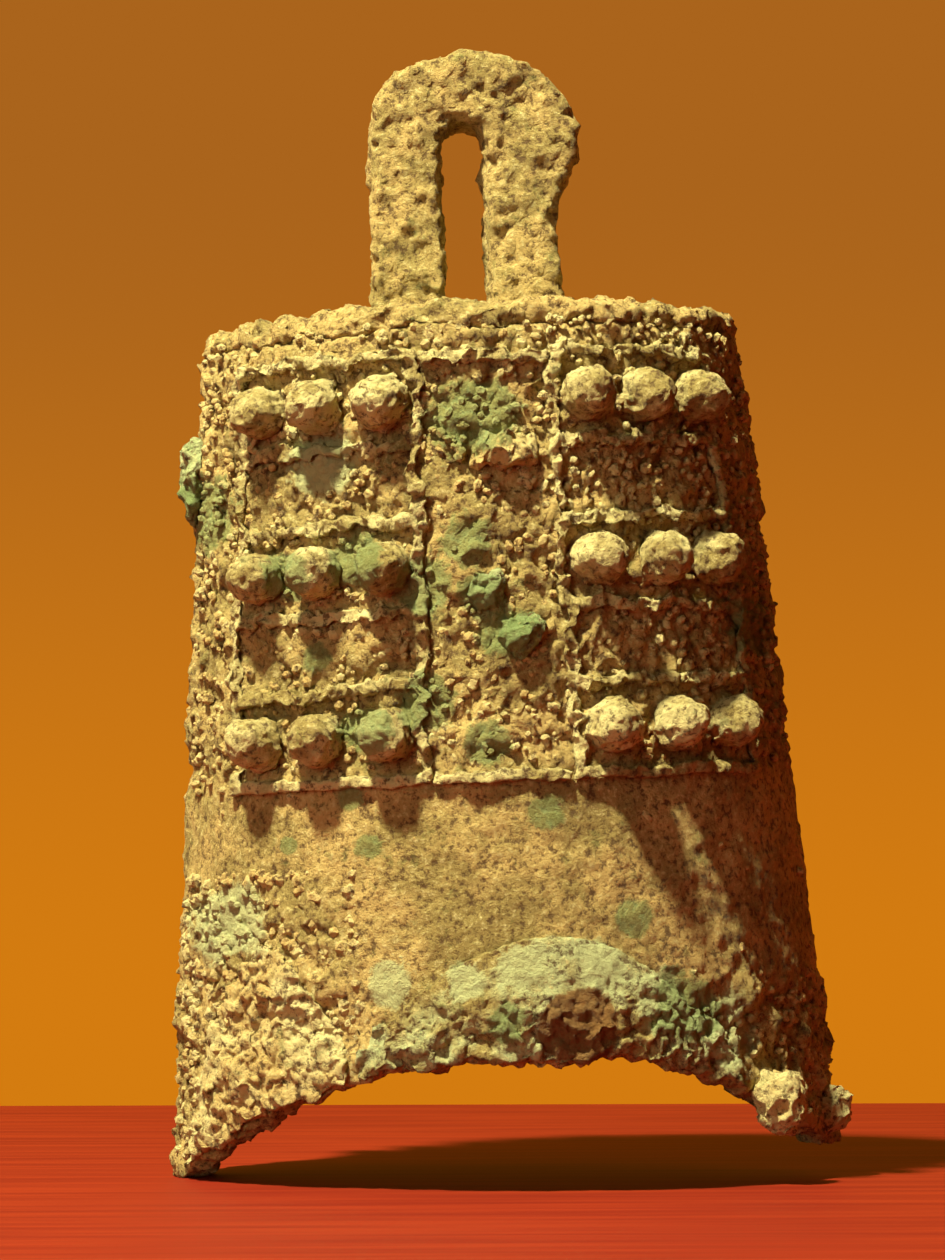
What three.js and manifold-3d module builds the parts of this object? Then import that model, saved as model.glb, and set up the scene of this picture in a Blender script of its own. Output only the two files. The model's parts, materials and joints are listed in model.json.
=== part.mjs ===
// A small ancient Chinese suspension bell in corroded bronze: an almond-section body made of a front
// and a back wall that meet at two sharp side edges, an arched mouth with two pointed tips, a flat
// crown plate, a strap loop tenoned through the crown, thirty-six knobs in raised frames, and the
// mineral crust and nodules that burial left on it. It has no clapper and is struck from outside.
//
// Millimetres, +Z up. The origin is on the ground, midway between the two mouth tips. The front
// faces -Y and the tips lie on the X axis.

import * as THREE from "three";
import { mergeVertices } from "three/addons/utils/BufferGeometryUtils.js";
import Module from "manifold-3d";

const wasm = await Module();
wasm.setup();

// Body
const BODY_HEIGHT = 175; // mouth tips to the top of the crown plate
const MOUTH_WIDTH = 140; // across the two tips
const MOUTH_DEPTH = 102; // front to back at the mouth
const CROWN_WIDTH = 113;
const CROWN_DEPTH = 83;
const WALL = 5;
const CROWN_PLATE = 5;
const CROWN_EDGE_ROUND = 2.4; // the worn edge round the top of the crown plate
const ARCH_RISE = 24.1; // how far the arch of the mouth would rise over unworn tips
const ARCH_POWER = 2.7; // 2 is a parabola; higher is flatter in the middle and steeper at the tips
const TIP_WEAR = 1.6; // height worn off each tip, which leaves the small flats the bell stands on

// Suspension loop
const LOOP_HEIGHT = 57; // over the crown plate
const LOOP_WIDTH = 40;
const LOOP_DEPTH = 15;
const SLOT_WIDTH = 9;
const SLOT_CROWN = 15; // metal over the top of the slot
const SHOULDER_BULGE = 4.6; // corrosion swells the right shoulder this far past the leg
const WAIST = 1.2; // the right leg is worn this much under the bulge
const LOOP_EDGE = 1.8; // worn edges of the strap
const TENON_SHOULDER = 2.2; // step from each side of a leg to its tenon

// Knobs and the raised frames round them
const BOSS_ROWS = 3;
const BOSSES_PER_ROW = 3; // in each panel
const BOSS_RADIUS = 5.6;
const BOSS_HEIGHT = 9;
const BOSS_FIRST_ANGLE = 19.5; // from the middle of the face, round the wall's arc, in degrees
const BOSS_ANGLE_STEP = 12.8;
const FIELD_TOP_MARGIN = 11; // crown plate's top to the uppermost raised line
const BOSS_BAY = 18; // height between the raised lines over and under a row of knobs
const BAND = 15.5; // height of the plain band between two bays
const PANEL_SIDE_ANGLE = 6.4; // from the outermost knobs' and the innermost knobs' axes to the panel's side lines
const LINE_WIDTH = 2.2;
const LINE_HEIGHT = 1.3;

const SEAT_GAP = 0.3; // between the wall's curved face and whatever sits on it

const WALL_TOP = BODY_HEIGHT - CROWN_PLATE;
const FIELD_TOP = BODY_HEIGHT - FIELD_TOP_MARGIN;
const PANEL_INNER_ANGLE = BOSS_FIRST_ANGLE - PANEL_SIDE_ANGLE;
const PANEL_OUTER_ANGLE = BOSS_FIRST_ANGLE + (BOSSES_PER_ROW - 1) * BOSS_ANGLE_STEP + PANEL_SIDE_ANGLE;

const FRONT = -1;
const BACK = 1;
const FACES = [
  ["front", FRONT],
  ["back", BACK],
];
const radians = THREE.MathUtils.degToRad;
const mix = THREE.MathUtils.lerp;

const bronze = { color: 0x8f7a48, roughness: 0.9, metalness: 0.25 };
const reliefBronze = { color: 0xb39a5e, roughness: 0.92, metalness: 0.2 };
const malachite = { color: 0x7d9a6a, roughness: 0.85, metalness: 0 };
const earthCrust = { color: 0xc8ae74, roughness: 0.97, metalness: 0 };

const bell = new THREE.Group();

function addMesh(name, geometry, finish) {
  const mesh = new THREE.Mesh(geometry, new THREE.MeshStandardMaterial({ ...finish, flatShading: true }));
  mesh.name = name;
  bell.add(mesh);
  return mesh;
}

// The almond section at a height: each face is an arc from one side edge to the other.
function section(z) {
  const rise = z / BODY_HEIGHT;
  const halfWidth = mix(MOUTH_WIDTH, CROWN_WIDTH, rise) / 2;
  const halfDepth = mix(MOUTH_DEPTH, CROWN_DEPTH, rise) / 2;
  const radius = (halfWidth ** 2 + halfDepth ** 2) / (2 * halfDepth);
  return { halfWidth, radius, centreY: radius - halfDepth };
}

// The angle, round a face's arc, at which the two faces meet.
function edgeAngle(z, offset) {
  const { radius, centreY } = section(z);
  return Math.acos(centreY / (radius + offset));
}

// A point at an angle round a face's arc, standing proud of the outer surface by the offset.
function wallPoint(side, angle, z, offset) {
  const { radius, centreY } = section(z);
  const r = radius + offset;
  return new THREE.Vector3(r * Math.sin(angle), side * (r * Math.cos(angle) - centreY), z);
}

function wallNormal(side, angle, z) {
  const step = 0.5;
  const upward = wallPoint(side, angle, z + step, 0).sub(wallPoint(side, angle, z - step, 0));
  const outward = new THREE.Vector3(Math.sin(angle), side * Math.cos(angle), 0);
  upward.normalize();
  return outward.addScaledVector(upward, -outward.dot(upward)).normalize();
}

// Height of the mouth's edge at a share of the way from the middle of a face to its side edge.
function mouthHeight(share) {
  const edge = edgeAngle(0, 0);
  const across = Math.abs(Math.sin(share * edge) / Math.sin(edge));
  return Math.max(0, ARCH_RISE * (1 - across ** ARCH_POWER) - TIP_WEAR);
}

// The share at which the arch comes down to the flat worn on a tip.
function flatStart() {
  const edge = edgeAngle(0, 0);
  const across = (1 - TIP_WEAR / ARCH_RISE) ** (1 / ARCH_POWER);
  return Math.asin(across * Math.sin(edge)) / edge;
}

function signedVolume(geometry) {
  const p = geometry.getAttribute("position");
  const corner = [0, 1, 2].map(() => new THREE.Vector3());
  let sum = 0;
  for (let i = 0; i < geometry.index.count; i += 3) {
    corner.forEach((c, k) => c.fromBufferAttribute(p, geometry.index.getX(i + k)));
    sum += corner[0].dot(corner[1].cross(corner[2]));
  }
  return sum / 6;
}

// A closed geometry from points and triangles, turned to face out whichever way it was wound.
function closedGeometry(points, triangles) {
  const geometry = new THREE.BufferGeometry().setFromPoints(points).setIndex(triangles);
  if (signedVolume(geometry) < 0) {
    for (let i = 0; i < triangles.length; i += 3) {
      [triangles[i + 1], triangles[i + 2]] = [triangles[i + 2], triangles[i + 1]];
    }
    geometry.setIndex(triangles);
  }
  geometry.computeVertexNormals();
  return geometry;
}

// A curved sheet with thickness: cells between column and row lines, some of which may be left open.
// place(column, row, layer) gives a point, with layer 0 on the inside and 1 on the outside.
function sheetSolid(columns, rows, place, isFilled = () => true) {
  const points = [];
  const triangles = [];
  const index = (i, j, layer) => (layer * columns.length + i) * rows.length + j;
  for (const layer of [0, 1]) {
    for (const c of columns) {
      for (const r of rows) points.push(place(c, r, layer));
    }
  }
  const quad = (a, b, c, d) => triangles.push(a, b, c, a, c, d);
  const filled = (i, j) =>
    i >= 0 && j >= 0 && i < columns.length - 1 && j < rows.length - 1 && isFilled(i, j);
  const side = (i0, j0, i1, j1) =>
    quad(index(i0, j0, 0), index(i1, j1, 0), index(i1, j1, 1), index(i0, j0, 1));
  for (let i = 0; i < columns.length - 1; i++) {
    for (let j = 0; j < rows.length - 1; j++) {
      if (!filled(i, j)) continue;
      quad(index(i, j, 1), index(i + 1, j, 1), index(i + 1, j + 1, 1), index(i, j + 1, 1));
      quad(index(i, j, 0), index(i, j + 1, 0), index(i + 1, j + 1, 0), index(i + 1, j, 0));
      if (!filled(i, j - 1)) side(i, j, i + 1, j);
      if (!filled(i + 1, j)) side(i + 1, j, i + 1, j + 1);
      if (!filled(i, j + 1)) side(i + 1, j + 1, i, j + 1);
      if (!filled(i - 1, j)) side(i, j + 1, i, j);
    }
  }
  return closedGeometry(points, triangles);
}

// A convex body through stacked rings of equally many points, with flat ends.
function loftSolid(rings) {
  const count = rings[0].length;
  const points = rings.flat();
  const triangles = [];
  for (let k = 0; k < rings.length - 1; k++) {
    for (let i = 0; i < count; i++) {
      const a = k * count + i;
      const b = k * count + ((i + 1) % count);
      triangles.push(a, b, b + count, a, b + count, a + count);
    }
  }
  const last = (rings.length - 1) * count;
  for (let i = 1; i < count - 1; i++) {
    triangles.push(0, i + 1, i, last, last + i, last + i + 1);
  }
  return closedGeometry(points, triangles);
}

// Evenly spaced values from one end to the other, both included.
function spread(from, to, steps) {
  return Array.from({ length: steps + 1 }, (_, i) => mix(from, to, i / steps));
}

// The outline of the whole almond at a height, grown by an offset.
function almondRing(z, offset, height = z) {
  const steps = 18;
  const edge = edgeAngle(z, offset);
  const front = spread(-edge, edge, steps).slice(0, -1);
  const back = spread(edge, -edge, steps).slice(0, -1);
  return [
    ...front.map((angle) => wallPoint(FRONT, angle, z, offset).setZ(height)),
    ...back.map((angle) => wallPoint(BACK, angle, z, offset).setZ(height)),
  ];
}

function toManifold(geometry) {
  const bare = geometry.clone();
  bare.deleteAttribute("normal");
  bare.deleteAttribute("uv");
  const merged = mergeVertices(bare, 1e-4);
  return new wasm.Manifold(
    new wasm.Mesh({
      numProp: 3,
      vertProperties: new Float32Array(merged.getAttribute("position").array),
      triVerts: new Uint32Array(merged.index.array),
    }),
  );
}

function fromManifold(solid) {
  const mesh = solid.getMesh();
  const geometry = new THREE.BufferGeometry();
  geometry.setAttribute("position", new THREE.BufferAttribute(mesh.vertProperties, 3));
  geometry.setIndex(new THREE.BufferAttribute(mesh.triVerts, 1));
  geometry.computeVertexNormals();
  return geometry;
}

// Front and back walls. Each is half of the body and ends in the flat seam at the side edges, where
// the two halves of the casting mould met.
function wallGeometry(side) {
  const flat = flatStart();
  const columns = [-1, ...spread(-flat, flat, 30), 1];
  const rows = spread(0, 1, 7);
  return sheetSolid(columns, rows, (share, rise, layer) => {
    const z = mix(mouthHeight(share), WALL_TOP, rise);
    const offset = layer === 1 ? 0 : -WALL;
    const point = wallPoint(side, share * edgeAngle(z, offset), z, offset);
    if (Math.abs(share) === 1) point.y = 0;
    return point;
  });
}
for (const [face, side] of FACES) addMesh(`${face}_wall`, wallGeometry(side), bronze);

// Suspension loop: an upright strap bent over a slot. Its legs stand on the crown plate and their
// tenons go through it. The outline is drawn in X and Z, with Z measured from the crown plate's top.
const legWidth = (LOOP_WIDTH - SLOT_WIDTH) / 2;
const tenonWidth = legWidth - 2 * TENON_SHOULDER;
const legCentres = [-(SLOT_WIDTH + legWidth) / 2, (SLOT_WIDTH + legWidth) / 2];

function loopOutline() {
  const outer = LOOP_WIDTH / 2;
  const inner = SLOT_WIDTH / 2;
  const slotArcHeight = LOOP_HEIGHT - SLOT_CROWN - inner;
  const bulge = outer + SHOULDER_BULGE;
  const waist = outer - WAIST;
  const outline = new THREE.Shape();
  outline.moveTo(-outer, 0);
  outline.lineTo(-outer + 0.03 * LOOP_WIDTH, 0.72 * LOOP_HEIGHT);
  outline.bezierCurveTo(
    -outer + 0.04 * LOOP_WIDTH, 0.9 * LOOP_HEIGHT,
    -0.6 * outer, LOOP_HEIGHT,
    0.08 * outer, LOOP_HEIGHT,
  );
  outline.bezierCurveTo(
    0.75 * outer, LOOP_HEIGHT,
    bulge, 0.88 * LOOP_HEIGHT,
    bulge, 0.66 * LOOP_HEIGHT,
  );
  outline.bezierCurveTo(
    bulge, 0.53 * LOOP_HEIGHT,
    waist, 0.5 * LOOP_HEIGHT,
    waist, 0.36 * LOOP_HEIGHT,
  );
  outline.lineTo(outer, 0);
  const tenonLine = (centre, from, to) => {
    outline.lineTo(centre + from, 0);
    outline.lineTo(centre + from, -CROWN_PLATE);
    outline.lineTo(centre + to, -CROWN_PLATE);
    outline.lineTo(centre + to, 0);
  };
  tenonLine(legCentres[1], tenonWidth / 2, -tenonWidth / 2);
  outline.lineTo(inner, 0);
  outline.lineTo(inner, slotArcHeight);
  outline.absarc(0, slotArcHeight, inner, 0, Math.PI, false);
  outline.lineTo(-inner, 0);
  tenonLine(legCentres[0], tenonWidth / 2, -tenonWidth / 2);
  outline.closePath();
  return outline;
}

const loopGeometry = new THREE.ExtrudeGeometry(loopOutline(), {
  depth: LOOP_DEPTH - 2 * LOOP_EDGE,
  bevelThickness: LOOP_EDGE,
  bevelSize: LOOP_EDGE,
  bevelOffset: -LOOP_EDGE,
  bevelSegments: 2,
  curveSegments: 10,
});
loopGeometry.translate(0, 0, LOOP_EDGE - LOOP_DEPTH / 2);
loopGeometry.rotateX(Math.PI / 2);
addMesh("suspension_loop", loopGeometry, bronze).position.z = BODY_HEIGHT;

// Crown plate: the flat top, worn round its edge, with a mortise for each tenon of the loop.
const crownRings = [almondRing(WALL_TOP, 0), almondRing(BODY_HEIGHT - CROWN_EDGE_ROUND, 0)];
for (const turn of spread(0, 90, 3).slice(1)) {
  const inset = CROWN_EDGE_ROUND * (1 - Math.cos(radians(turn)));
  const below = CROWN_EDGE_ROUND * (1 - Math.sin(radians(turn)));
  crownRings.push(almondRing(BODY_HEIGHT - below, -inset));
}
let crown = toManifold(loftSolid(crownRings));
for (const x of legCentres) {
  const mortise = new THREE.BoxGeometry(
    tenonWidth + 2 * SEAT_GAP, LOOP_DEPTH + 2 * SEAT_GAP, 3 * CROWN_PLATE,
  );
  mortise.translate(x, 0, BODY_HEIGHT);
  crown = crown.subtract(toManifold(mortise));
}
addMesh("crown_plate", fromManifold(crown), bronze);

// Knobs: domes on short drums, square to the wall.
const rowHeight = (row) => FIELD_TOP - BOSS_BAY / 2 - row * (BOSS_BAY + BAND);
const bossAngle = (column) => BOSS_FIRST_ANGLE + column * BOSS_ANGLE_STEP;

function bossGeometry() {
  const drum = 0.35 * BOSS_HEIGHT;
  const dome = BOSS_HEIGHT - drum;
  const profile = [new THREE.Vector2(0, 0), new THREE.Vector2(BOSS_RADIUS, 0)];
  for (const turn of spread(0, 75, 4)) {
    const across = 0.94 * BOSS_RADIUS * Math.cos(radians(turn));
    profile.push(new THREE.Vector2(across, drum + dome * Math.sin(radians(turn))));
  }
  profile.push(new THREE.Vector2(0, BOSS_HEIGHT));
  return new THREE.LatheGeometry(profile, 12);
}

const boss = bossGeometry();
const LATHE_AXIS = new THREE.Vector3(0, 1, 0);
for (const [face, side] of FACES) {
  for (const [hand, sign] of [["left", -1], ["right", 1]]) {
    for (let row = 0; row < BOSS_ROWS; row++) {
      for (let column = 0; column < BOSSES_PER_ROW; column++) {
        const angle = sign * radians(bossAngle(column));
        const name = `knob_${face}_${hand}_row${row + 1}_${column + 1}`;
        const mesh = addMesh(name, boss, reliefBronze);
        mesh.position.copy(wallPoint(side, angle, rowHeight(row), SEAT_GAP));
        mesh.quaternion.setFromUnitVectors(LATHE_AXIS, wallNormal(side, angle, rowHeight(row)));
      }
    }
  }
}

// Raised lines on a face between two angles, at the given heights, with upright lines at the sides.
function linesGeometry(side, fromAngle, toAngle, heights, hasSides) {
  const half = LINE_WIDTH / 2;
  const halfAngle = half / section(FIELD_TOP).radius;
  const steps = Math.max(4, Math.round((toAngle - fromAngle) / radians(5)));
  const columns = [fromAngle - halfAngle, ...spread(fromAngle + halfAngle, toAngle - halfAngle, steps)];
  columns.push(toAngle + halfAngle);
  const rows = heights.flatMap((z) => [z - half, z + half]);
  const isLine = (i, j) => j % 2 === 0 || (hasSides && (i === 0 || i === columns.length - 2));
  return sheetSolid(
    columns, rows,
    (angle, z, layer) => wallPoint(side, angle, z, SEAT_GAP + layer * LINE_HEIGHT),
    isLine,
  );
}

const lineHeights = [];
for (let row = BOSS_ROWS - 1; row >= 0; row--) {
  lineHeights.push(rowHeight(row) - BOSS_BAY / 2, rowHeight(row) + BOSS_BAY / 2);
}
const sillHeight = lineHeights[0];
const lintelHeight = lineHeights[lineHeights.length - 1];
const panelInner = radians(PANEL_INNER_ANGLE);
const panelOuter = radians(PANEL_OUTER_ANGLE);
// The lines across the middle of a face stop short of the two panels' side lines.
const middleEnd = panelInner - (LINE_WIDTH + SEAT_GAP) / section(FIELD_TOP).radius;
for (const [face, side] of FACES) {
  const line = (name, from, to, heights, hasSides) =>
    addMesh(name, linesGeometry(side, from, to, heights, hasSides), reliefBronze);
  line(`panel_frame_${face}_left`, -panelOuter, -panelInner, lineHeights, true);
  line(`panel_frame_${face}_right`, panelInner, panelOuter, lineHeights, true);
  line(`middle_sill_${face}`, -middleEnd, middleEnd, [sillHeight], false);
  line(`middle_lintel_${face}`, -middleEnd, middleEnd, [lintelHeight], false);
}

// Lumps of mineral that burial grew on the bell: swollen balls, cut back to clear the wall.
const wallKeepOut = toManifold(
  loftSolid([almondRing(0, SEAT_GAP, -WALL), almondRing(0, SEAT_GAP), almondRing(BODY_HEIGHT, SEAT_GAP)]),
);

function lumpGeometry(lump) {
  const geometry = new THREE.IcosahedronGeometry(1, 4);
  const p = geometry.getAttribute("position");
  const point = new THREE.Vector3();
  for (let i = 0; i < p.count; i++) {
    point.fromBufferAttribute(p, i);
    const swell = 1 + 0.07 * Math.sin(4 * point.x + 2) * Math.cos(5 * point.z) + 0.05 * Math.sin(6 * point.y);
    point.multiplyScalar(swell).multiply(lump.size);
    p.setXYZ(i, point.x, point.y, point.z);
  }
  const centre = wallPoint(lump.side, radians(lump.angle), lump.z, lump.offset);
  geometry.translate(centre.x, centre.y, centre.z);
  return fromManifold(toManifold(geometry).subtract(wallKeepOut));
}

const middleBand = (rowHeight(BOSS_ROWS - 1) + rowHeight(BOSS_ROWS - 2)) / 2;
const upperBand = (rowHeight(0) + rowHeight(1)) / 2;
const size = (x, y, z) => new THREE.Vector3(x, y, z);
const lumps = {
  tip_nodule_inner: { side: FRONT, angle: 46.5, z: 10.5, offset: 0.8, size: size(6.2, 6.2, 6.6), finish: earthCrust },
  tip_nodule_outer: { side: FRONT, angle: 66, z: 7.4, offset: 0.6, size: size(4.6, 4.8, 5.2), finish: earthCrust },
  edge_flake_left: {
    side: FRONT, angle: -70, z: upperBand + 6, offset: 0.4, size: size(3.6, 5, 9.5), finish: malachite,
  },
  malachite_ring_nodule: {
    side: FRONT, angle: 4.8, z: middleBand + 2.5, offset: 0.4, size: size(4.2, 3.6, 4.4), finish: malachite,
  },
  malachite_button: {
    side: FRONT, angle: -0.8, z: middleBand + 11, offset: 0, size: size(4, 2.2, 4), finish: malachite,
  },
  middle_crust_lump: {
    side: FRONT, angle: 3, z: upperBand + 5.5, offset: -0.5, size: size(7.5, 4.4, 4.6), finish: earthCrust,
  },
};
for (const [name, lump] of Object.entries(lumps)) addMesh(name, lumpGeometry(lump), lump.finish);

// Crust that spreads over the wall just above the mouth: thickest in the middle, thin at its rim.
function crustGeometry({ side, from, to, width, thickness, rim, bottomMargin }) {
  const columns = spread(radians(from), radians(to), 12);
  const rows = spread(0, 1, 5);
  return sheetSolid(columns, rows, (angle, rise, layer) => {
    const along = (angle - columns[0]) / (columns[columns.length - 1] - columns[0]);
    const low = mouthHeight(angle / edgeAngle(0, 0)) + bottomMargin;
    const z = low + rise * (rim + (width - rim) * Math.sin(Math.PI * along));
    const fill = Math.sin(Math.PI * along) * Math.sin(Math.PI * mix(0.2, 1, rise));
    return wallPoint(side, angle, z, SEAT_GAP + layer * mix(rim / 6, thickness, Math.max(0, fill)));
  });
}
addMesh(
  "mouth_crust_front",
  crustGeometry({ side: FRONT, from: -26, to: 40, width: 24, thickness: 2.6, rim: 5, bottomMargin: 0.6 }),
  malachite,
);
addMesh(
  "corner_crust_left",
  crustGeometry({ side: FRONT, from: -64, to: -28, width: 34, thickness: 2.4, rim: 6, bottomMargin: 0.6 }),
  earthCrust,
);

export default bell;
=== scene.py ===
# %% [markdown]
# # A corroded bronze bell on a red board
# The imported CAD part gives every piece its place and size. Each piece is rebuilt here as a
# corroded skin over its CAD solid, because long burial has turned smooth cast faces into crust.
# The object is in metres, with +Z up and the front face towards -Y.

# %% Load the frame
import json
import math
import random

import bmesh
import bpy
import numpy as np
from mathutils import Matrix, Vector


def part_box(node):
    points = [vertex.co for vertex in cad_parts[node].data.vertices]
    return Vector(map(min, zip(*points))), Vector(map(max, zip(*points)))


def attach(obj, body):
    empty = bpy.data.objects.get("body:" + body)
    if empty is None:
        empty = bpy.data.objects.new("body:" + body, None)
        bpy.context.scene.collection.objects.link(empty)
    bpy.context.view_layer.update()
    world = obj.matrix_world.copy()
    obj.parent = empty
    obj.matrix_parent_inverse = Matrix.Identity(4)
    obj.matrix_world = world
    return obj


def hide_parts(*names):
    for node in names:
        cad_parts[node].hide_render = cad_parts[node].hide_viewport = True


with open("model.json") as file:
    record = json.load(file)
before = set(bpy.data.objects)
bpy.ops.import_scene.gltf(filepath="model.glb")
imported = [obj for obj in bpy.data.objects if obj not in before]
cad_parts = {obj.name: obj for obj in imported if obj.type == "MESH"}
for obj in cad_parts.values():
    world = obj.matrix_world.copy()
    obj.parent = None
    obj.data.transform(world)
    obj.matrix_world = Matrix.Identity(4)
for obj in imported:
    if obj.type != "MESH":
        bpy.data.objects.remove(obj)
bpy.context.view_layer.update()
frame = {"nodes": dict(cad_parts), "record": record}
nodes = frame["nodes"]
slot_of = {part["node"]: part["material_slot"] for part in frame["record"]["subparts"]}
print(len(nodes), "CAD nodes loaded")

# %% [markdown]
# ## The wall
# Each side of the wall is an arc, and the two meet at pointed edges. The sizes of the crown and
# the mouth come from the CAD boxes. Any point of the front then follows from an angle about the
# arc's centre and a height, which is simpler than searching the mesh for a place to put a grain.

# %% The wall's arc
_, crown_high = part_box("crown_plate")
wall_low, wall_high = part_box("front_wall")
BODY_TOP = crown_high.z
MOUTH_HALF_WIDTH = wall_high.x
CROWN_HALF_WIDTH = crown_high.x
MOUTH_HALF_DEPTH = -wall_low.y
CROWN_HALF_DEPTH = crown_high.y


def wall_arc(z):
    """Radius of the front arc at a height, and how far its centre lies behind the bell's axis."""
    share = z / BODY_TOP
    half_width = MOUTH_HALF_WIDTH + (CROWN_HALF_WIDTH - MOUTH_HALF_WIDTH) * share
    half_depth = MOUTH_HALF_DEPTH + (CROWN_HALF_DEPTH - MOUTH_HALF_DEPTH) * share
    radius = (half_width**2 + half_depth**2) / (2 * half_depth)
    return radius, radius - half_depth


def front_point(angle, z):
    """A point on the front skin."""
    radius, centre = wall_arc(z)
    return Vector((radius * math.sin(angle), -(radius * math.cos(angle) - centre), z))


print("body height", round(BODY_TOP, 4), "mouth width", round(2 * MOUTH_HALF_WIDTH, 4))

# %% [markdown]
# ## The arched mouth
# The mouth rises between the two tips in a flat-topped curve. A power of the distance across
# gives that shape, as in the CAD part, and the tips are worn short enough to stand on.

# %% Mouth curve
ARCH_RISE = 0.0241
ARCH_POWER = 2.7
TIP_WEAR = 0.0016
MOUTH_LEVEL = 0.01


def mouth_height(angle):
    """Height of the mouth's edge at an angle."""
    radius, centre = wall_arc(MOUTH_LEVEL)
    edge = math.acos(centre / radius)
    across = min(1.0, abs(math.sin(angle) / math.sin(edge)))
    return max(0.0, ARCH_RISE * (1 - across**ARCH_POWER) - TIP_WEAR)


print("mouth rises to", round(mouth_height(0), 4), "in the middle")

# %% [markdown]
# ## Camera
# The photograph is taken from a little above the board with a long lens. The bell leans to the
# left in the picture. The camera's roll gives that lean, so that the part itself stays upright.

# %% Camera
IMAGE_WIDTH = 945
IMAGE_HEIGHT = 1260
FOCAL_PIXELS = 4100
SENSOR = 36
LEAN = math.radians(2.7)
CAMERA_PLACE = Vector((-0.047, -0.859, 0.0646))
CAMERA_TARGET = Vector((-0.0022, 0.0, 0.1107))

camera_data = bpy.data.cameras.new("camera")
camera_data.sensor_width = SENSOR
camera_data.lens = FOCAL_PIXELS / IMAGE_HEIGHT * SENSOR
camera = bpy.data.objects.new("camera", camera_data)
bpy.context.collection.objects.link(camera)
aim = (CAMERA_TARGET - CAMERA_PLACE).to_track_quat("-Z", "Y").to_matrix().to_4x4()
camera.matrix_world = Matrix.Translation(CAMERA_PLACE) @ aim @ Matrix.Rotation(-LEAN, 4, "Z")
bpy.context.scene.camera = camera
print("lens", round(camera_data.lens, 1), "mm")

# %% [markdown]
# ## From the picture to the bell
# A mark on the bell is easiest to place where the photograph shows it. A ray from the camera
# through that pixel meets an upright plane just behind the front face's nearest line.

# %% Pixels to places
FRONT_DEPTH = 0.046


def at_pixel(column, row):
    """The (x, z) place on the bell's front that a pixel of the photograph shows."""
    sideways = (column - IMAGE_WIDTH / 2) / FOCAL_PIXELS
    upwards = (IMAGE_HEIGHT / 2 - row) / FOCAL_PIXELS
    ray = camera.matrix_world.to_3x3() @ Vector((sideways, upwards, -1))
    spot = CAMERA_PLACE + ray * ((-FRONT_DEPTH - CAMERA_PLACE.y) / ray.y)
    return spot.x, spot.z


print("picture centre is", [round(c, 3) for c in at_pixel(IMAGE_WIDTH / 2, IMAGE_HEIGHT / 2)])

# %% [markdown]
# ## Where the corrosion lies
# Copper minerals grow in patches. The green ones lie in the middle panel and as discs below it,
# a pale band lies over the mouth, and one disc under it is orange brown. Each patch has the pixel
# column and row of its centre, and a radius in metres.

# %% Patches
GREEN_PATCHES = {
    "panel_top": (475, 415, 0.009),
    "panel_patch": (468, 540, 0.006),
    "panel_button": (478, 595, 0.005),
    "panel_ring": (507, 632, 0.006),
    "panel_left": (425, 585, 0.006),
    "panel_low_left": (425, 700, 0.006),
    "panel_low": (485, 745, 0.005),
    "knob_left": (355, 560, 0.006),
    "knob_far_left": (285, 572, 0.005),
    "knob_lower": (365, 730, 0.005),
    "disc_left": (350, 798, 0.003),
    "disc_right": (548, 812, 0.004),
    "disc_low_right": (633, 918, 0.004),
    "disc_low": (370, 845, 0.003),
    "disc_far_left": (290, 845, 0.002),
    "disc_panel": (318, 657, 0.003),
    "mouth_disc": (507, 1022, 0.0045),
    "right_crust": (690, 1010, 0.008),
    "left_edge": (195, 500, 0.008),
    "right_edge": (770, 620, 0.006),
}
PALE_PATCHES = {
    "band_left": (462, 982, 0.0040),
    "band_middle": (520, 965, 0.0050),
    "band_right": (600, 968, 0.0050),
    "band_tail": (660, 1000, 0.0060),
    "lump_left": (390, 985, 0.0045),
    "tail_crust": (730, 1030, 0.008),
    "corner_high": (225, 925, 0.008),
    "knob_crust": (320, 455, 0.007),
}
RUST_PATCHES = {"mouth_stain": (578, 1026, 0.0080)}
PATCH_KINDS = {"green": GREEN_PATCHES, "pale": PALE_PATCHES, "rust": RUST_PATCHES}
RIM_WEIGHT = 0.5


def patch_weight(places, patches):
    """How far each place lies inside the nearest patch: 1 at its centre, RIM_WEIGHT at its rim."""
    weight = np.zeros(len(places))
    for column, row, radius in patches.values():
        x, z = at_pixel(column, row)
        distance = np.hypot(places[:, 0] - x, places[:, 2] - z)
        weight = np.maximum(weight, np.clip(1 - RIM_WEIGHT * distance / radius, 0, 1))
    weight[places[:, 1] > 0] = 0
    return weight


print({kind: len(patches) for kind, patches in PATCH_KINDS.items()}, "patches")

# %% [markdown]
# ## Where the crust is thick
# The upper zone, the lower left corner and the mouth's edge carry heavy crust, while the zone
# between is nearly smooth. One weight from place alone says so for every piece.

# %% Crust weight
UPPER_START = 0.077
UPPER_FADE = 0.006
CORNER_SIDE = -0.026
CORNER_TOP = 0.062
CORNER_FADE = 0.012
MOUTH_TOP = 0.040
MOUTH_FADE = 0.010
LEAST_CRUST = 0.28
CRUST_RANGE = 0.72


def crust_weight(places):
    """How thick the crust is at each place, from LEAST_CRUST to 1."""
    x, z = places[:, 0], places[:, 2]
    upper = np.clip((z - UPPER_START) / UPPER_FADE, 0, 1)
    corner = np.clip((CORNER_SIDE - x) / CORNER_FADE, 0, 1) * np.clip((CORNER_TOP - z) / CORNER_FADE, 0, 1)
    mouth = np.clip((MOUTH_TOP - z) / MOUTH_FADE, 0, 1)
    return np.clip(LEAST_CRUST + CRUST_RANGE * np.maximum(upper, np.maximum(corner, mouth)), 0, 1)


print("crust from", LEAST_CRUST, "to", LEAST_CRUST + CRUST_RANGE)

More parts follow.
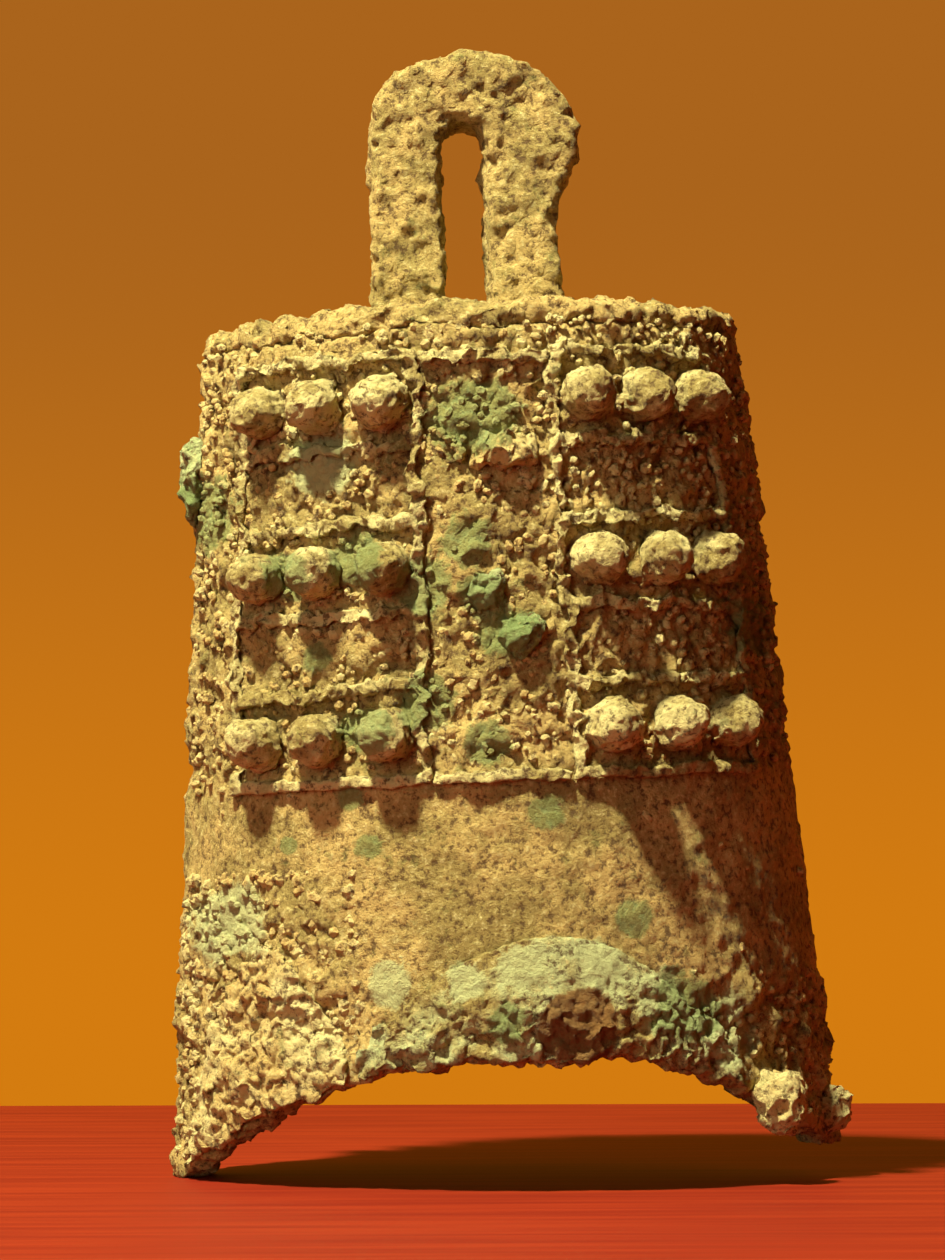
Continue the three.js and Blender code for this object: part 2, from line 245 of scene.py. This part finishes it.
# %% [markdown]
# ## The push of the crust
# Colour clouds push a skin about in all directions, once in lumps and once in grains. A push
# that depends only on the place moves both halves of the wall alike, so their seam stays shut.
# The knobs and the loop take a smaller share of it, to keep their rounder forms.


# %% Cloud textures
def colour_clouds(name, scale, depth):
    texture = bpy.data.textures.new(name, "CLOUDS")
    texture.cloud_type = "COLOR"
    texture.noise_scale = scale
    texture.noise_depth = depth
    return texture


LUMPS = colour_clouds("lumps", 0.009, 2)
GRAINS = colour_clouds("grains", 0.0024, 3)
LUMP_PUSH = 0.0040
GRAIN_PUSH = 0.0032
STILL_LEVEL = 0.5
KNOB_SHARE = 0.55
LOOP_SHARE = 0.75


def push_share(node):
    """The share of the push that a piece takes."""
    if node.startswith("knob"):
        return KNOB_SHARE
    if node == "suspension_loop":
        return LOOP_SHARE
    return 1.0


def roughen(piece, share):
    """Adds the two pushes, weighted by how thick the crust is."""
    rough = piece.vertex_groups.new(name="crust")
    for index, weight in enumerate(share * crust_weight(places_of(piece.data))):
        rough.add([index], float(weight), "REPLACE")
    for texture, push in ((LUMPS, LUMP_PUSH), (GRAINS, GRAIN_PUSH)):
        displace = piece.modifiers.new(texture.name, "DISPLACE")
        displace.texture = texture
        displace.texture_coords = "LOCAL"
        displace.direction = "RGB_TO_XYZ"
        displace.strength = push
        displace.mid_level = STILL_LEVEL
        displace.vertex_group = "crust"


print("lumps of", LUMPS.noise_scale * 1000, "mm and grains of", GRAINS.noise_scale * 1000, "mm")

# %% [markdown]
# ## Even skins
# A CAD solid has long thin faces that can't take a fine push. A voxel remesh first covers it
# with small even ones. The walls get coarser voxels than the small pieces, to save faces.

# %% Skin helpers
WALL_VOXEL = 0.0009
SMALL_VOXEL = 0.0005
WELD_DISTANCE = 1e-6
BIG_NODES = ("front_wall", "back_wall", "crown_plate", "suspension_loop")


def places_of(mesh):
    places = np.zeros(len(mesh.vertices) * 3, np.float32)
    mesh.vertices.foreach_get("co", places)
    return places.reshape(-1, 3)


def apply_modifiers(piece):
    bpy.context.view_layer.update()
    graph = bpy.context.evaluated_depsgraph_get()
    shaped = bpy.data.meshes.new_from_object(piece.evaluated_get(graph))
    piece.modifiers.clear()
    piece.data = shaped


def add_piece(name, form):
    """Turns a bmesh into an object in the scene."""
    mesh = bpy.data.meshes.new(name)
    form.to_mesh(mesh)
    form.free()
    piece = bpy.data.objects.new(name, mesh)
    bpy.context.collection.objects.link(piece)
    return piece


def corroded_skin(node):
    """The CAD node's solid with an even, roughened skin that stays above the ground."""
    solid = bmesh.new()
    solid.from_mesh(nodes[node].data)
    bmesh.ops.remove_doubles(solid, verts=solid.verts, dist=WELD_DISTANCE)
    piece = add_piece("skin_" + node, solid)
    remesh = piece.modifiers.new("even skin", "REMESH")
    remesh.mode = "VOXEL"
    remesh.voxel_size = WALL_VOXEL if node in BIG_NODES else SMALL_VOXEL
    remesh.use_smooth_shade = True
    apply_modifiers(piece)
    roughen(piece, push_share(node))
    apply_modifiers(piece)
    places = places_of(piece.data)
    places[:, 2] = np.maximum(places[:, 2], 0)
    piece.data.vertices.foreach_set("co", places.ravel())
    return piece


def mark_patches(piece):
    """Writes the patch weights on the skin, for its material to read."""
    places = places_of(piece.data)
    for kind, patches in PATCH_KINDS.items():
        mark = piece.data.attributes.new(kind, "FLOAT", "POINT")
        mark.data.foreach_set("value", patch_weight(places, patches).astype(np.float32))


# %% Skins
skins = {}
for node in sorted(nodes):
    skins[node] = corroded_skin(node)
    mark_patches(skins[node])
print(len(skins), "skins,", sum(len(s.data.polygons) for s in skins.values()), "faces")

# %% [markdown]
# ## Crust grains
# Grains of earth and mineral are cemented to the front, thickest at the lower left corner and
# spread over the upper zone. Small uneven stones, half sunk in the skin, throw real shadows,
# which a painted pattern could not.

# %% Grains
GRAIN_COUNT = 3000
GRAIN_VERTICES = 12
GRAIN_SEED = 7
WIDEST_ANGLE = 68
EDGE_MARGIN = 0.004
MOUTH_MARGIN = 0.002
GRAIN_SIZES = (0.0004, 0.0012)
GRAIN_LENGTHS = (0.8, 1.5)
GRAIN_DEPTHS = (0.7, 1.1)
GRAIN_HEIGHTS = (0.7, 1.2)
GRAIN_CORNER_SIDE = -0.030
CORNER_GROWTH = 1.35
OPEN_CHANCE = 0.6

chance = random.Random(GRAIN_SEED)
grain_form = bmesh.new()
while len(grain_form.verts) < GRAIN_COUNT * GRAIN_VERTICES:
    angle = math.radians(chance.uniform(-WIDEST_ANGLE, WIDEST_ANGLE))
    z = chance.uniform(EDGE_MARGIN, BODY_TOP - EDGE_MARGIN)
    point = front_point(angle, z)
    weight = float(crust_weight(np.array([point[:]]))[0])
    in_corner = point.x < GRAIN_CORNER_SIDE and z < CORNER_TOP
    wanted = 1.0 if in_corner else OPEN_CHANCE * weight**3
    if z < mouth_height(angle) + MOUTH_MARGIN or chance.random() > wanted:
        continue
    size = chance.uniform(*GRAIN_SIZES) * (CORNER_GROWTH if in_corner else 1.0)
    sides = (chance.uniform(*GRAIN_LENGTHS), chance.uniform(*GRAIN_DEPTHS), chance.uniform(*GRAIN_HEIGHTS), 1)
    turn = Matrix.Rotation(chance.uniform(0, math.tau), 4, "Y")
    place = Matrix.Translation(point) @ turn @ Matrix.Diagonal(sides)
    bmesh.ops.create_icosphere(grain_form, subdivisions=1, radius=size, matrix=place)
grains = add_piece("crust_grains", grain_form)
mark_patches(grains)
print(len(grains.data.polygons), "grain faces")

# %% [markdown]
# ## Shader maths
# A mask is a sum of noises and marks with a soft step at the end. A small class wraps a number
# socket so that such sums read as maths, and another makes every node through one method.


# %% Shader helpers
class Value:
    """A number socket that adds, subtracts and multiplies."""

    def __init__(self, shader, socket):
        self.shader = shader
        self.socket = socket

    def _math(self, operation, first, second):
        node = self.shader.node("ShaderNodeMath", {"operation": operation}, {0: first, 1: second})
        return Value(self.shader, node.outputs[0])

    def __add__(self, other):
        return self._math("ADD", self, other)

    def __radd__(self, other):
        return self._math("ADD", other, self)

    def __sub__(self, other):
        return self._math("SUBTRACT", self, other)

    def __rsub__(self, other):
        return self._math("SUBTRACT", other, self)

    def __mul__(self, other):
        return self._math("MULTIPLY", self, other)

    def __rmul__(self, other):
        return self._math("MULTIPLY", other, self)

    def between(self, low, high):
        """0 below low, 1 above high, with a soft step in between."""
        settings = {"interpolation_type": "SMOOTHSTEP"}
        node = self.shader.node("ShaderNodeMapRange", settings, {"Value": self, 1: low, 2: high})
        return Value(self.shader, node.outputs[0])


class Shader:
    """A material under construction."""

    def __init__(self, name):
        self.material = bpy.data.materials.new(name)
        self.material.use_nodes = True
        self.tree = self.material.node_tree
        self.surface = self.tree.nodes["Principled BSDF"]

    def node(self, kind, settings, inputs):
        """A node of any type, with its settings, and values or links on its sockets."""
        node = self.tree.nodes.new(kind)
        for key, setting in settings.items():
            setattr(node, key, setting)
        for key, value in inputs.items():
            self.feed(node.inputs[key], value)
        return node

    def feed(self, socket, value):
        if isinstance(value, Value):
            value = value.socket
        if isinstance(value, bpy.types.NodeSocket):
            self.tree.links.new(value, socket)
        else:
            socket.default_value = value

    def finish(self, **looks):
        """Sets inputs of the surface: base_color becomes Base Color, and so on."""
        for key, value in looks.items():
            words = [word.upper() if word == "ior" else word.capitalize() for word in key.split("_")]
            self.feed(self.surface.inputs[" ".join(words)], value)
        return self.material

    def place(self):
        return self.node("ShaderNodeTexCoord", {}, {}).outputs["Object"]

    def noise(self, scale, detail, roughness, place=None):
        inputs = {"Vector": place or self.place(), "Scale": scale, "Detail": detail, "Roughness": roughness}
        return Value(self, self.node("ShaderNodeTexNoise", {}, inputs).outputs[0])

    def attribute(self, name):
        return Value(self, self.node("ShaderNodeAttribute", {"attribute_name": name}, {}).outputs["Fac"])

    def mix(self, first, second, factor):
        node = self.node("ShaderNodeMix", {"data_type": "RGBA"}, {0: factor, 6: first, 7: second})
        return node.outputs[2]

    def bump(self, height, distance, strength):
        inputs = {"Height": height, "Distance": distance, "Strength": strength}
        return self.node("ShaderNodeBump", {}, inputs).outputs["Normal"]


def display_colour(red, green, blue):
    """A colour as seen on a screen, 0 to 255, as a linear one."""
    shares = [channel / 255 for channel in (red, green, blue)]
    return tuple(s / 12.92 if s <= 0.04045 else ((s + 0.055) / 1.055) ** 2.4 for s in shares) + (1.0,)


# %% [markdown]
# ## Patina
# Every piece wears the same patina in its own pair of ground and high colours: sand on the
# high grains, dark earth with painted shade in the hollows between, and green salts in specks.
# Noise makes the patches ragged, because a mineral's edge is never a clean circle.

# %% Patina
OCHRE = display_colour(208, 178, 108)
SAND = display_colour(226, 212, 148)
OLIVE = display_colour(164, 144, 80)
EARTH_AND_SHADE = display_colour(84, 52, 18)
MALACHITE = display_colour(140, 160, 100)
DEEP_GREEN = display_colour(92, 110, 50)
PALE_GREEN = display_colour(188, 194, 140)
RUST = display_colour(122, 78, 22)
DRIFT_SCALE = 48
SPREAD_SCALE = 150
SPECKLE_SCALE = 210
GRAIN_SCALE = 620
FEATHER_SCALE = 1150
BUMP_DISTANCE = 0.0026


def patina(name, ground, high):
    shader = Shader(name)
    drift = shader.noise(DRIFT_SCALE, 5, 0.6)
    spread = shader.noise(SPREAD_SCALE, 7, 0.65)
    speckle = shader.noise(SPECKLE_SCALE, 6, 0.7)
    grain = shader.noise(GRAIN_SCALE, 8, 0.72)
    feather = shader.noise(FEATHER_SCALE, 4, 0.8)
    colour = shader.mix(ground, high, (drift * 0.6 + spread * 0.4).between(0.42, 0.58))
    colour = shader.mix(colour, SAND, grain.between(0.53, 0.66) * 0.75)
    # Painted shade: dark earth brown laid in the low hollows of the grain noise, where shade falls.
    colour = shader.mix(colour, EARTH_AND_SHADE, (1.0 - grain.between(0.38, 0.50)) * 0.85)
    colour = shader.mix(colour, DEEP_GREEN, speckle.between(0.58, 0.66) * 0.35)
    ragged = (spread - 0.5) * 0.9 + (grain - 0.5) * 0.6
    green = (shader.attribute("green") + ragged).between(0.46, 0.6)
    pale = (shader.attribute("pale") + ragged).between(0.44, 0.6)
    rust = (shader.attribute("rust") + ragged * 0.4).between(0.48, 0.54)
    green_colour = shader.mix(MALACHITE, DEEP_GREEN, grain.between(0.4, 0.6))
    colour = shader.mix(colour, PALE_GREEN, pale * 0.8)
    colour = shader.mix(colour, green_colour, green * 0.72)
    colour = shader.mix(colour, RUST, rust * 0.9)
    height = grain * 0.7 + spread * 0.6 + feather * 0.3
    normal = shader.bump(height, BUMP_DISTANCE, 1.0)
    return shader.finish(base_color=colour, roughness=0.78 + grain * 0.2, normal=normal)


SLOT_LOOKS = {
    "body_bronze": patina("body patina", OLIVE, OCHRE),
    "relief_bronze": patina("relief patina", OLIVE, SAND),
    "malachite_crust": patina("malachite", MALACHITE, PALE_GREEN),
    "earth_crust": patina("earth crust", OCHRE, SAND),
}
NODE_LOOKS = {"mouth_crust_front": patina("mouth crust", OLIVE, PALE_GREEN)}
print(len(SLOT_LOOKS) + len(NODE_LOOKS), "looks")

# %% [markdown]
# ## Dressing the bell
# Each skin takes the look of its slot in the record. The crust over the mouth is mostly brown
# with pale green on top, so it has a look of its own within the malachite slot.

# %% Looks on pieces
for node, skin in skins.items():
    skin.data.materials.clear()
    skin.data.materials.append(NODE_LOOKS.get(node, SLOT_LOOKS[slot_of[node]]))
    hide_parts(node)
    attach(skin, "root")
grains.data.materials.append(SLOT_LOOKS["earth_crust"])
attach(grains, "root")
print(len(skins) + 1, "pieces dressed")

# %% [markdown]
# ## The red board
# The bell stands on a red board with fine streaks. The board is level in the picture, so it is
# turned by the camera's roll about the left foot. The streaks are noise drawn out along X.

# %% Board
WALL_DISTANCE = 0.245
STAGE_HALF_SPAN = 1.5
STREAK_STRETCH = (0.06, 1.0, 1.0)
STREAK_SCALE = 170
DARK_RED = display_colour(108, 22, 7)
LIGHT_RED = display_colour(126, 34, 11)


def stage_plane(name, corners, material):
    plane = bmesh.new()
    plane.faces.new([plane.verts.new(corner) for corner in corners])
    piece = add_piece(name, plane)
    piece.data.materials.append(material)
    left_foot = Vector((-MOUTH_HALF_WIDTH, 0, 0))
    piece.matrix_world = Matrix.Translation(left_foot) @ Matrix.Rotation(LEAN, 4, "Y")


red_board = Shader("red board")
stretched = red_board.node("ShaderNodeMapping", {}, {"Vector": red_board.place(), "Scale": STREAK_STRETCH})
streaks = red_board.noise(STREAK_SCALE, 6, 0.6, stretched.outputs[0])
red = red_board.mix(DARK_RED, LIGHT_RED, streaks.between(0.35, 0.65))
board_look = red_board.finish(base_color=red, roughness=0.6, specular_ior_level=0.15)
left, right = -STAGE_HALF_SPAN, STAGE_HALF_SPAN
near, far = -STAGE_HALF_SPAN, WALL_DISTANCE
stage_plane("board", [(left, near, 0), (right, near, 0), (right, far, 0), (left, far, 0)], board_look)
print("board runs back to", WALL_DISTANCE)

# %% [markdown]
# ## The orange wall
# The wall behind is evenly orange and darker towards the top. Light of its own keeps it free
# of the bell's shadow. It is clear from behind, so that the bell's back can be looked at too.

# %% Wall
WALL_GLOW_LOW = display_colour(212, 124, 16)
WALL_GLOW_HIGH = display_colour(170, 100, 28)
GLOW_FADE = (0.02, 0.26)
BLACK = (0.0, 0.0, 0.0, 1.0)

orange_wall = Shader("orange wall")
split = orange_wall.node("ShaderNodeSeparateXYZ", {}, {"Vector": orange_wall.place()})
rise = Value(orange_wall, split.outputs[2]).between(*GLOW_FADE)
orange = orange_wall.mix(WALL_GLOW_LOW, WALL_GLOW_HIGH, rise)
wall_look = orange_wall.finish(
    base_color=BLACK, emission_color=orange, emission_strength=1.0, specular_ior_level=0.0, roughness=1.0
)
from_behind = orange_wall.node("ShaderNodeNewGeometry", {}, {}).outputs["Backfacing"]
clear = orange_wall.node("ShaderNodeBsdfTransparent", {}, {}).outputs[0]
layers = {0: from_behind, 1: orange_wall.surface.outputs[0], 2: clear}
shown = orange_wall.node("ShaderNodeMixShader", {}, layers).outputs[0]
orange_wall.feed(orange_wall.tree.nodes["Material Output"].inputs["Surface"], shown)
top = STAGE_HALF_SPAN
stage_plane("wall", [(left, far, 0), (right, far, 0), (right, far, top), (left, far, top)], wall_look)
print("wall set")

# %% [markdown]
# ## Light
# One warm lamp hangs high on the left in front, so steep that the knobs throw their shadows
# down onto the lower zone. A weak broad fill keeps the hollows readable.

# %% Lamps
LIT_CENTRE = Vector((0, 0, 0.11))
ROOM_COLOUR = (0.30, 0.17, 0.06, 1.0)
ROOM_STRENGTH = 0.25


def lamp(name, place, size, power, colour):
    data = bpy.data.lights.new(name, "AREA")
    data.size = size
    data.energy = power
    data.color = colour
    light = bpy.data.objects.new(name, data)
    bpy.context.collection.objects.link(light)
    light.location = place
    light.rotation_euler = (LIT_CENTRE - Vector(place)).to_track_quat("-Z", "Y").to_euler()


lamp("key", (-0.29, -0.38, 1.08), 0.08, 40, (1.0, 0.95, 0.62))
lamp("fill", (-0.6, -0.8, 0.35), 0.6, 3.2, (1.0, 0.88, 0.66))
world = bpy.data.worlds.new("room")
world.use_nodes = True
world.node_tree.nodes["Background"].inputs[0].default_value = ROOM_COLOUR
world.node_tree.nodes["Background"].inputs[1].default_value = ROOM_STRENGTH
bpy.context.scene.world = world
bpy.context.scene.view_settings.view_transform = "Standard"
print("lamps lit")
